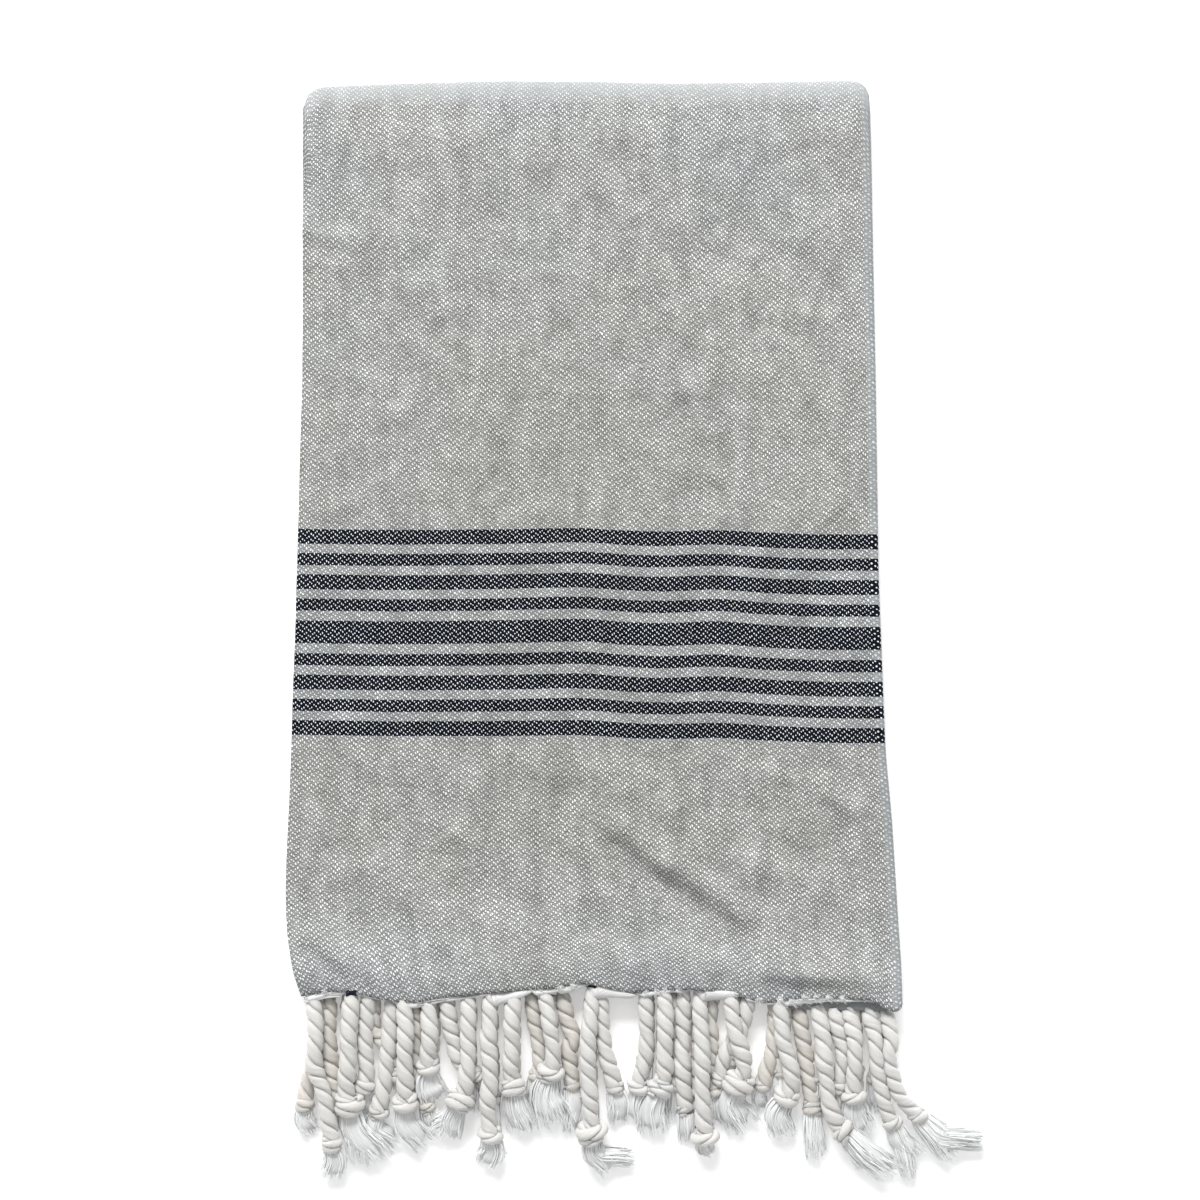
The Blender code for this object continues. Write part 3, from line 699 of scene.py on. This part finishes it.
def woven_cotton(settings):
    """Weft-faced broken twill: white warp dots over slubby taupe or navy weft."""
    s = settings
    material, g = new_material("woven_cotton")
    uv = g.node("ShaderNodeUVMap", uv_map="cloth")
    u, v, _ = g.parts(uv)
    from_hem = v.least(FLAT_SIZE[1] - v)
    wander = g.noise(uv, 260.0)
    drift = g.noise(g.vectors("ADD", uv, (3.1, 1.7, 0.0)), 210.0)
    ends = u / END_PITCH + (wander - 0.5) * END_JITTER
    picks = v / PICK_PITCH + (drift - 0.5) * PICK_JITTER
    end, pick = math.floor(ends), math.floor(picks)

    # where the warp shows: one oval dot in four picks, stepping aside from end to end
    across = ends - end - 0.5
    order = end % TWILL
    step = order + (order > 1.5) - (order > 2.5) * 2.0
    cell = (picks - step) / TWILL
    repeat = math.floor(cell)
    along = (cell - repeat - 0.5) * TWILL + across * DOT_LEAN
    luck, other_luck = g.speck(end, repeat), g.speck(repeat, end)
    count = abs(from_hem - BAND_CENTRE) / PICK_PITCH + (drift - 0.5) * STRIPE_JITTER
    stripe = sum((count > low) * (count < high) for low, high in STRIPES)
    band = (count < STRIPES[-1][1] + 2.0)
    drawn_in = 1.0 - stripe * DRAWN_IN
    reach = (DOT_REACH[0] + luck * DOT_REACH[1]) * drawn_in
    oval = (across / (DOT_HALF * drawn_in)) ** 2.0 + (along / reach) ** 2.0
    dot = oval.soft(1.25, 0.65)

    # the threads
    streak = g.noise(g.vector(u * 210.0, pick * 0.61), 1.0, 3.0)
    thread = g.node("ShaderNodeTexWhiteNoise", {"W": pick}, noise_dimensions="1D")
    weft = g.blend(streak.soft(0.25, 0.75), shade(s.weft, 0.72), shade(s.weft, 1.3))
    weft = g.blend(thread * 0.3, weft, shade(s.weft, 0.7))
    weft = g.blend(band * 0.55, weft, colour([c * t for c, t in zip(s.weft, BAND_TINT)]))
    navy = g.blend(streak.soft(0.3, 0.8), shade(s.stripe, 0.5), shade(s.stripe, 1.8))
    weft = g.blend(stripe, weft, navy)
    warp = g.blend(other_luck, shade(s.warp, 0.74), shade(s.warp, 1.25))
    warp = g.blend(stripe * 0.7, warp, colour(STRIPE_WARP))
    face = g.blend(dot, weft, warp)

    # painted shade beside the dots, then broad differences of tone, painted shadow on the inner
    # layer and painted shade along the hem, then painted light on the folds
    def between(factor, low, high):
        return g.tint(face, g.blend(factor, colour(low), colour(high)))

    white = (1.0, 1.0, 1.0)
    valley = oval.soft(1.0, 2.2) * oval.soft(5.0, 2.8)
    face = g.tint(face, g.blend(valley * 0.7, grey(1.0), grey(0.42)))
    cloud = g.blend(g.noise(uv, 16.0, 3.0).soft(0.35, 0.65), colour(COOL_TINT), colour(WARM_TINT))
    middle = from_hem.soft(0.0, 0.075) * from_hem.soft(0.385, 0.22)
    middle = middle * (1.0 - abs(u - MIDDLE_OF_WIDTH) * 3.0)
    face = g.tint(face, g.blend(middle, cloud, colour(MIDDLE_TINT)))
    # where the lower half shows at the hem: its dots hidden as on the reverse face, and painted
    # shadow from the top layer's edge darkening it
    turned = (u > TURNED_UNDER) * from_hem.soft(0.012, 0.006)
    face = g.blend(turned * 0.75, face, shade(s.weft, 0.42))
    face = between(g.noise(uv, 75.0, 3.0).soft(0.3, 0.7), THIN_TINT, FULL_TINT)
    drawn = g.noise(g.vector(u * 150.0, v * 38.0), 1.0)
    face = between(drawn.soft(0.3, 0.7), SPARSE_TINT, DENSE_TINT)
    # painted shade: the cloth darkens over its last 18 mm towards the hem, where it turns down
    # away from the light
    face = between(from_hem.soft(0.018, 0.0), white, HEM_PAINTED_SHADE)
    crest = from_hem.soft(FLAT_RUN + 0.001, FLAT_RUN + 0.012)
    face = g.blend(crest * 0.6, face, colour(CREST_COLOUR))
    side = u.soft(*SIDE_FOLD) * (1.0 - stripe) * 0.5
    face = g.blend(side, face, colour(SIDE_COLOUR))

    ribs = (picks * (2 * math.pi)).cosine() * 0.12
    relief = dot * (0.75 + luck * 0.25) + (1.0 - dot) * (0.25 + ribs + streak * 0.25)
    g.surface({"Base Color": face, "Roughness": 0.88, "Normal": g.bump(relief, s.relief, 0.9),
               "Sheen Weight": 0.02, "Sheen Roughness": 0.5, "Specular IOR Level": 0.08})
    return material


class TOWEL_OT_sheet(bpy.types.Operator):
    """Folds the woven sheet in four"""
    bl_idname = "towel.sheet"
    bl_label = "Folded sheet"

    def execute(self, context):
        settings = context.scene.towel_cloth
        points, places = lay_sheet()
        cloth = grid_mesh("cloth", points, places, woven_cotton(settings))
        thick = cloth.modifiers.new("thickness", "SOLIDIFY")
        thick.thickness = settings.sheet
        thick.offset = 0.0
        cloth.data.shade_smooth()
        solid = plain_mesh(cloth)
        cloth.modifiers.clear()
        cloth.data = solid
        declare(cloth, CLOTH_NODE)
        return {"FINISHED"}


# ======================================================================== the fringe

def spun_cotton(name, tint, dark, streaks, relief, twist=330.0, drawn=60.0, soft=0.8):
    """Soft spun cotton: fibre streaks along the yarn, twisted with it and drawn out."""
    material, g = new_material(name)
    x, y, _ = g.parts(g.node("ShaderNodeAttribute", None, 1, attribute_name="around"))
    along, luck, loose = [g.node("ShaderNodeAttribute", None, 2, attribute_name=stored)
                          for stored in ("along", "luck", "loose")]
    turn = along * twist
    spun = g.vector(x * turn.cosine() - y * turn.sine(), x * turn.sine() + y * turn.cosine(),
                    along * drawn + luck * 31.0)
    fine = g.noise(spun, streaks, 3.0)
    broad = g.noise(g.vector(x, y, along * 45.0 + luck * 17.0), 1.3)
    tone = g.blend(fine.soft(0.25, 0.7), shade(tint, dark), colour(tint))
    tone = g.blend(broad.soft(0.3, 0.75) * 0.35, tone, shade(tint, 0.86))
    tone = g.blend(luck * 0.25, tone, colour([c * t for c, t in zip(tint, AGED_TINT)]))
    # painted light: loose fibres are painted lighter than the yarn, making up for the shade among
    # the thin fibres
    tone = g.blend(loose * (1.0 - luck * 0.5), tone, shade(tint, 1.22))
    height = (fine + broad * 0.5) * (1.0 - loose)
    g.surface({"Base Color": tone, "Roughness": 0.9, "Normal": g.bump(height, relief, 0.8),
               "Sheen Weight": 0.2, "Sheen Roughness": 0.5, "Specular IOR Level": 0.2,
               "Subsurface Weight": soft, "Subsurface Radius": (1.0, 0.95, 0.88),
               "Subsurface Scale": 3 * MM})
    return material


def strand_tree(name, material, sides=(1.0, -1.0)):
    """One ply, or two laid round each other, along every path."""
    g, given = new_tree(name, {
        "Lay": 0.014, "Ply offset": 0.00135, "Ply width": 0.003, "Ply depth": 0.0022,
        "Wander": 0.0022, "Step": 0.0007})
    factor, length = g.run()
    luck = g.chance(0.0, 1.0, g.geo("CurveOfPoint"), 5)
    here = g.place()
    uneven = g.noise(here, 75.0, 1.0)
    path = g.resample(g.smooth_path(), "LENGTH", given["Step"])
    path = g.move(path, Offset=g.astray(
        g.vectors("ADD", here, (0.3, 0.7, 0.1)), 60.0, given["Wander"]))
    path = g.store(path, "along", length)
    path = g.store(path, "luck", luck)
    turn = luck * 6.3 - length / given["Lay"] * (2 * math.pi) + (uneven - 0.5) * 2.2
    path = g.geo("SetCurveTilt", {"Curve": path, "Tilt": turn})
    thin = (0.76 + 0.44 * uneven) * (0.95 + 0.1 * luck)
    thin = thin * (0.72 + 0.28 * factor.soft(0.0, 0.12)) * g.geo("InputRadius")
    plies = [g.ring(12, given["Ply depth"], given["Ply width"], given["Ply offset"] * side)
             for side in sides]
    return end_tree(g, g.sweep(path, g.join(*plies), thin), material)


def knot_tree(material):
    """A coil of strand wound round each rope's end, one per point."""
    g, given = new_tree("end knot", {"Strand": 0.0022, "Coil": 0.0029, "Rise": 0.0042})
    strand, coil, rise = given["Strand"], given["Coil"], given["Rise"]
    shapes = []
    for turns in (1.35, 1.8, 2.2):
        path = g.geo("CurveSpiral", {
            "Resolution": 22, "Rotations": turns, "Start Radius": coil, "End Radius": coil,
            "Height": rise * (turns / 1.6)})
        factor, length = g.run()
        path = g.store(path, "along", length)
        path = g.geo("SetCurveTilt", {"Curve": path, "Tilt": length * -420.0})
        plies = [g.ring(10, strand * 0.66, strand * 0.92, strand * side) for side in (0.42, -0.42)]
        ends = factor.soft(0.0, 0.16) * factor.soft(1.0, 0.84)
        body = g.sweep(path, g.join(*plies), 0.45 + 0.55 * ends)
        body = g.geo("Transform", {
            "Geometry": body, "Translation": g.vector(0.0, 0.0, rise * (-0.5 * turns / 1.6))})
        shapes.append(g.geo("GeometryToInstance", {"Geometry": body}))
    index = g.geo("InputIndex")
    upright = g.node("FunctionNodeAlignRotationToVector",
                     {"Vector": g.attribute("direction", "FLOAT_VECTOR")}, axis="Z")
    lean = g.turn(g.chance(-0.35, 0.35, index, 11), g.chance(-0.35, 0.35, index, 12),
                  g.chance(0.0, 6.28, index, 13))
    turned = g.node("FunctionNodeRotateRotation",
                    {"Rotation": upright, "Rotate By": lean}, rotation_space="LOCAL")
    size = g.attribute("size")
    knots = g.instances(
        given["Geometry"], turned, g.vector(size, size, 0.5 + 0.5 * size), 14,
        Instance=g.join(*shapes), Pick_Instance=True,
        Instance_Index=g.node("FunctionNodeRandomValue",
                              {4: 0, 5: 2, "ID": index, "Seed": 21}, 2, data_type="INT"))
    return end_tree(g, knots, material)


def tuft_tree(name, material):
    """Opened cotton: pointed locks of fibres that fan out along each spine."""
    g, given = new_tree(name, {
        "Strands": 110, "Lock": 7, "Neck": 0.003, "Root radius": 0.00042, "Tip radius": 0.00014,
        "Flatness": 0.55, "Core": 0.85, "Body": 0.98, "Wave": 0.0012})
    spines = g.smooth_path()
    path = g.resample(spines, "COUNT", 8)
    path = g.store(path, "spine", g.geo("InputIndex"), "INT", "CURVE")
    path = g.geo("DuplicateElements", {"Geometry": path, "Amount": given["Strands"]},
                 domain="SPLINE")
    index = Value(g, path.socket.node.outputs["Duplicate Index"])
    path = g.store(path, "copy", index, "INT", "CURVE")
    spine, copy = g.attribute("spine", "INT"), g.attribute("copy", "INT")
    strand = spine * 997.0 + copy
    lock = spine * 131.0 + math.floor(copy / given["Lock"])
    factor, _ = g.run()
    spread, here = g.geo("InputRadius"), g.place()
    tangent, normal = g.geo("InputTangent"), g.geo("InputNormal")
    side = g.vectors("CROSS_PRODUCT", tangent, normal)

    def fan(ident, seed, amount):
        angle = g.chance(0.0, 6.28, ident, seed)
        reach = g.chance(0.0, 1.0, ident, seed + 1) ** 0.36 * amount
        return g.vectors("ADD", g.scaled(normal, angle.cosine() * reach),
                         g.scaled(side, angle.sine() * reach))

    neck, flatness = given["Neck"], given["Flatness"]
    opened = factor ** 0.6
    shift = g.vectors(
        "ADD", fan(lock, 31, neck * (1.0 - opened) + spread * opened),
        fan(strand, 41, neck * 0.45 * (1.0 - factor) + spread * 0.34 * factor * (1.35 - factor)))
    shift = g.vectors("ADD", shift, g.astray(
        g.vectors("ADD", here, g.vector(lock * 0.37, strand * 0.013, 0.0)), 95.0,
        given["Wave"] * factor * 3.2))
    shift = g.vectors("MULTIPLY", shift, g.vector(1.0, 1.0, flatness))
    run = g.chance(-0.24, 0.05, lock, 51) + g.chance(-0.16, 0.04, strand, 52)
    ahead = g.scaled(tangent, run * factor * 0.016)
    path = g.move(path, Offset=g.vectors("ADD", shift, ahead))
    x, y, z = g.parts(here)
    path = g.move(path, Position=g.vector(x, y, z.most(LOWEST_FIBRE)))
    path = g.store(path, "along", factor * 0.02)
    path = g.store(path, "luck", g.chance(0.0, 1.0, strand, 61))
    path = g.store(path, "loose", 1.0)
    root = given["Root radius"]
    width = root + (given["Tip radius"] - root) * factor ** 0.8
    fibres = g.sweep(path, g.ring(3), width, False)

    core = g.geo("TrimCurve", {"Curve": spines, 3: given["Core"]}, mode="FACTOR")
    core = g.resample(core, "COUNT", 12)
    core = g.store(core, "height", z)
    core = g.store(core, "along", factor * 0.014)
    core = g.store(core, "luck", g.chance(0.0, 0.4, g.geo("CurveOfPoint"), 62))
    ragged = 0.7 + 0.6 * g.noise(here, 240.0)
    girth = (neck + (spread * given["Body"] - neck) * factor ** 0.6) * ragged
    core = g.sweep(core, g.ring(18), girth * (1.0 - 0.8 * factor ** 5.0))
    height = g.attribute("height")
    flat = (height + (z - height) * flatness).most(LOWEST_FIBRE)
    core = g.move(core, Position=g.vector(x, y, flat))
    return end_tree(g, g.join(fibres, core), material)


def paths_object(name, paths):
    """A curve of several paths; each point is (x, y, z, radius), millimetres."""
    data = bpy.data.curves.new(name, "CURVE")
    data.dimensions = "3D"
    for points in paths:
        spline = data.splines.new("POLY")
        spline.points.add(len(points) - 1)
        for target, (x, y, z, radius) in zip(spline.points, points):
            target.co = (*(Vector((x, y, z)) * MM + ORIGIN), 1.0)
            target.radius = radius
    return link(name, data)


def rope_paths(comb):
    """Paths, knots and tuft spines of one comb."""
    ropes, knots, spines = [], [], []
    pick = np.random.default_rng(7 if comb == "front" else 8)
    rows = [row for row in TASSELS if (row[0] == "low") == (comb == "back")]
    if comb == "back":
        for x, drop in UNDERNEATH:
            sway = pick.uniform(-1.5, 1.5)
            route = (x, 2, x + 0.3 * sway, -0.4 * drop, x + sway, -0.8 * drop)
            rows.append(("low", 8.0, route, (x + 1.5 * sway, -drop - 8, 3.5)))
    for bed, knot, route, tips in rows:
        route = list(zip(route[::2], route[1::2]))
        root, middle, low = BEDS[bed]
        gone = [0.0]
        for (x0, y0), (x1, y1) in zip(route, route[1:]):
            gone.append(gone[-1] + math.hypot(x1 - x0, y1 - y0))
        low = max(low, 0.5 * knot)
        rope = []
        for (x, y), run in zip(route, gone):
            share = run / gone[-1]
            z = np.interp(share, (0, 0.3, 0.7, 1), (root, middle, middle * 0.97, low))
            rope.append(Vector((x, y, float(z))))
        ropes.append([(*point, 1.0) for point in rope])
        heading = (rope[-1] - rope[-2]).normalized()
        knots.append((rope[-1], heading, knot / KNOT_WIDTH))
        for x, y, spread in zip(tips[::3], tips[1::3], tips[2::3]):
            start = rope[-1] + heading * 1.5
            tip = Vector((x, y, max(1.6, low - 4.0)))
            bend = start + heading * 0.38 * (tip - start).length
            bend.z = low * 0.75 + 0.2
            spine = (start, bend, bend.lerp(tip, 0.55), tip)
            spines.append([(*point, spread * MM) for point in spine])
    return ropes, knots, spines


def knot_points(name, knots):
    """Points that carry each knot's direction and size."""
    mesh = bpy.data.meshes.new(name)
    mesh.from_pydata([tuple(place * MM + ORIGIN) for place, _, _ in knots], [], [])
    mesh.attributes.new("direction", "FLOAT_VECTOR", "POINT")
    mesh.attributes.new("size", "FLOAT", "POINT")
    for i, (_, heading, amount) in enumerate(knots):
        mesh.attributes["direction"].data[i].vector = heading
        mesh.attributes["size"].data[i].value = amount
    return link(name, mesh)


def hem_point(x, drop=0.0, rise=0.0):
    """A place on the top layer's hem, drop below its edge and rise above its middle."""
    x = float(x)
    return x, float(along_table(TOP_HEM, np.array(x), 2.5)) - drop, HEM_HEIGHT + rise


def roving_paths():
    paths = []
    for x0, x1, bow, half_width in ROVINGS:
        path = []
        for t in np.linspace(0, 1, 10):
            half = half_width * (0.4 + 0.6 * min(1.0, t * 9)) * (1.0 - t * t) + 0.2
            lump = 1.1 + 0.1 * math.sin(9 * t + x0)
            place = hem_point(x0 + t * (x1 - x0), bow + 0.6 * half, -0.3 - 0.5 * half)
            path.append((*place, half * lump))
        paths.append(path)
    return paths


def tail_paths(tails, rise):
    paths = []
    for x, above, run, climb, count in tails:
        for i in range(count):
            path = []
            for t in np.linspace(0, 1, 5):
                wave = 0.25 * math.sin(5 * t + i + x)
                place = hem_point(x + t * run, 0.55 * i - above - climb * t + wave, rise)
                path.append((*place, 1.0))
            paths.append(path)
    return paths


def fray_spines():
    spines = []
    for x, length, lean, spread in FRAYS:
        spines.append([
            (*hem_point(x + lean * t, length * t - 0.6, 0.3 - 1.6 * t * t), spread * MM)
            for t in (0.0, 0.35, 0.7, 1.0)])
    return spines


def whip_tree(material):
    """Fine sewing thread whipped over an edge, one stitch per pitch."""
    g, given = new_tree("whip stitches", {"Pitch": STITCH_PITCH, "Thread": 0.00011})
    path = g.resample(given["Geometry"], "LENGTH", given["Pitch"])
    stitch = g.geo("CurveQuadraticBezier", {
        "Resolution": 6, "Start": (-0.0004, 0.0011, 0.0), "Middle": (0.0, 0.0, 0.0009),
        "End": (0.0004, -0.0009, -0.0004)})
    stitch = g.store(stitch, "along", g.run()[1])
    index = g.geo("InputIndex")
    size = g.chance(0.75, 1.25, index, 72)
    stitches = g.instances(
        g.geo("CurveToPoints", {"Curve": path}, mode="EVALUATED"),
        g.turn(0.0, 0.0, g.chance(-0.5, 0.5, index, 71)), g.vector(size, size, size), 73,
        Instance=g.sweep(stitch, g.ring(5, given["Thread"], given["Thread"]), 1.0))
    return end_tree(g, stitches, material)


class TOWEL_OT_hem(bpy.types.Operator):
    """Bundles, whips and frays the threads along the hem"""
    bl_idname = "towel.hem"
    bl_label = "Hem threads"

    def execute(self, context):
        fibre = context.scene.towel_fringe.fibre
        white = spun_cotton("cotton_roving", [c * 0.95 for c in fibre], 0.8, 5.0, 0.3 * MM,
                            120.0, 40.0, 0.0)
        navy = spun_cotton("navy_thread", context.scene.towel_cloth.stripe, 0.6, 2.6, 0.1 * MM)
        grey_thread = spun_cotton("sewing_thread", SEWING_THREAD, 0.7, 2.6, 0.05 * MM)
        pale = spun_cotton("whipping_thread", WHIPPING_THREAD, 0.8, 2.6, 0.05 * MM)
        strands = (
            ("hem_rovings", "roving", white, roving_paths(), 0.2, 0.0010, 0.0008, 0.0006),
            ("hem_navy_tails", "navy tail", navy, tail_paths(NAVY_TAILS, 0.25),
             0.006, 0.0004, 0.0003, 0.0004),
            ("hem_grey_tails", "grey tail", grey_thread, tail_paths(GREY_TAILS, 0.35),
             0.006, 0.00013, 0.00011, 0.0004),
        )
        made = []
        for name, label, cotton, paths, lay, width, depth, step in strands:
            made.append(grow(name, paths_object("paths", paths),
                             strand_tree(label, cotton, (0.0,)),
                             {"Lay": lay, "Ply width": width, "Ply depth": depth,
                              "Step": step, "Wander": 0.0004}, cotton))
        made.append(grow("hem_frays", paths_object("spines", fray_spines()),
                         tuft_tree("fray", white),
                         {"Strands": 44, "Lock": 4, "Neck": 0.0004, "Root radius": 0.00014,
                          "Tip radius": 0.00006, "Wave": 0.0016, "Flatness": 0.3,
                          "Body": 0.0}, white))
        edge = [(*hem_point(x, 0.1, 0.15), 1.0) for x in range(-119, 124, 4)]
        made.append(grow("hem_whipping", paths_object("paths", [edge]), whip_tree(pale), {}, pale))
        for piece in made:
            declare(piece, FRONT_NODE)
        return {"FINISHED"}


class TOWEL_OT_fringe(bpy.types.Operator):
    """Twists, knots and opens the tassels of both combs"""
    bl_idname = "towel.fringe"
    bl_label = "Twisted fringe"

    def execute(self, context):
        s = context.scene.towel_fringe
        light = spun_cotton("cotton_rope", s.yarn, 0.84, 3.2, 0.22 * MM)
        loose = spun_cotton("cotton_tuft", s.fibre, 0.74, 10.0, 0.45 * MM, 0.0, 9.0, 0.0)
        shaded = spun_cotton("cotton_rope_under", [c * t for c, t in zip(s.yarn, SHADED_TINT)],
                             0.84, 3.2, 0.22 * MM)
        tuft = tuft_tree("tuft", loose)
        for comb, node, yarn in (("front", FRONT_NODE, light), ("back", BACK_NODE, shaded)):
            rope, knot = strand_tree("twisted rope", yarn), knot_tree(yarn)
            ropes, knots, spines = rope_paths(comb)
            for piece in (
                    grow(f"{comb}_ropes", paths_object("paths", ropes), rope,
                         {"Lay": s.lay, "Ply offset": s.ply_offset}, yarn),
                    grow(f"{comb}_knots", knot_points("points", knots), knot, {}, yarn),
                    grow(f"{comb}_tufts", paths_object("spines", spines), tuft,
                         {"Strands": s.strands}, loose)):
                declare(piece, node)
        return {"FINISHED"}


class TOWEL_OT_declare(bpy.types.Operator):
    """Takes no step: it returns at once and leaves the scene as it is"""
    bl_idname = "towel.declare_sheet"
    bl_label = "Sheet facts"

    def execute(self, context):
        return {"FINISHED"}


# ======================================================================== the stage

def plain_floor(settings):
    material, g = new_material("plain_floor")
    place = g.node("ShaderNodeTexCoord", None, 3)
    tone = g.blend(g.noise(place, 3.0), shade(settings.floor, 0.985), colour(settings.floor))
    g.surface({"Base Color": tone, "Roughness": 0.9, "Specular IOR Level": 0.1,
               "Emission Color": tone, "Emission Strength": settings.glow})
    return material


class TOWEL_OT_stage(bpy.types.Operator):
    """Lays the floor and sets the soft light and the camera above it"""
    bl_idname = "towel.stage"
    bl_label = "Stage"

    def execute(self, context):
        s = context.scene.towel_stage
        turns = [2 * math.pi * i / FLOOR_SIDES for i in range(FLOOR_SIDES)]
        rim = [(FLOOR_RADIUS * math.cos(a), FLOOR_RADIUS * math.sin(a), FLOOR_Z) for a in turns]
        mesh = bpy.data.meshes.new("floor")
        mesh.from_pydata(rim, [], [range(FLOOR_SIDES)])
        mesh.materials.append(plain_floor(s))
        link("floor", mesh)

        world = bpy.data.worlds.new("studio")
        world.use_nodes = True
        sky = world.node_tree.nodes["Background"].inputs
        sky["Color"].default_value = grey(1.0)
        sky["Strength"].default_value = s.ambient
        context.scene.world = world

        lamp = bpy.data.lights.new("window", "AREA")
        lamp.shape, lamp.size, lamp.size_y = "RECTANGLE", *LAMP_SIZE
        lamp.energy = s.lamp
        lit = link("window", lamp)
        lit.location = LAMP_PLACE
        lit.rotation_euler = (-Vector(lit.location)).to_track_quat("-Z", "Y").to_euler()

        camera = bpy.data.cameras.new("camera")
        camera.lens = camera.sensor_width * CAMERA_HEIGHT / s.width
        camera.clip_start, camera.clip_end = 0.05, 20.0
        eye = link("camera", camera)
        eye.location = (ORIGIN.x + AIM[0] * MM, ORIGIN.y + AIM[1] * MM, CAMERA_HEIGHT + 0.008)
        context.scene.camera = eye
        context.scene.view_settings.view_transform = "Standard"
        return {"FINISHED"}


# ======================================================================== add-on

class TOWEL_PT_panel(bpy.types.Panel):
    """Lists the towel's operators"""
    bl_idname = "TOWEL_PT_panel"
    bl_label = "Hammam towel"
    bl_space_type = "VIEW_3D"
    bl_region_type = "UI"
    bl_category = "Towel"

    def draw(self, context):
        scene = context.scene
        for group in (scene.towel_cloth, scene.towel_fringe, scene.towel_stage):
            box = self.layout.box()
            for name in group.bl_rna.properties.keys():
                if name not in ("rna_type", "name"):
                    box.prop(group, name)
        for operator in OPERATORS:
            self.layout.operator(operator.bl_idname)


GROUPS = {"towel_cloth": ClothSettings, "towel_fringe": FringeSettings,
          "towel_stage": StageSettings}
OPERATORS = (TOWEL_OT_sheet, TOWEL_OT_hem, TOWEL_OT_fringe, TOWEL_OT_declare, TOWEL_OT_stage)
CLASSES = (*GROUPS.values(), *OPERATORS, TOWEL_PT_panel)


def register():
    for made in CLASSES:
        bpy.utils.register_class(made)
    for name, group in GROUPS.items():
        setattr(bpy.types.Scene, name, PointerProperty(type=group))


def unregister():
    for name in GROUPS:
        delattr(bpy.types.Scene, name)
    for made in reversed(CLASSES):
        bpy.utils.unregister_class(made)


def main():
    register()
    bpy.ops.towel.sheet()
    bpy.ops.towel.hem()
    bpy.ops.towel.fringe()
    bpy.ops.towel.declare_sheet()
    bpy.ops.towel.stage()


if __name__ == "__main__":
    main()
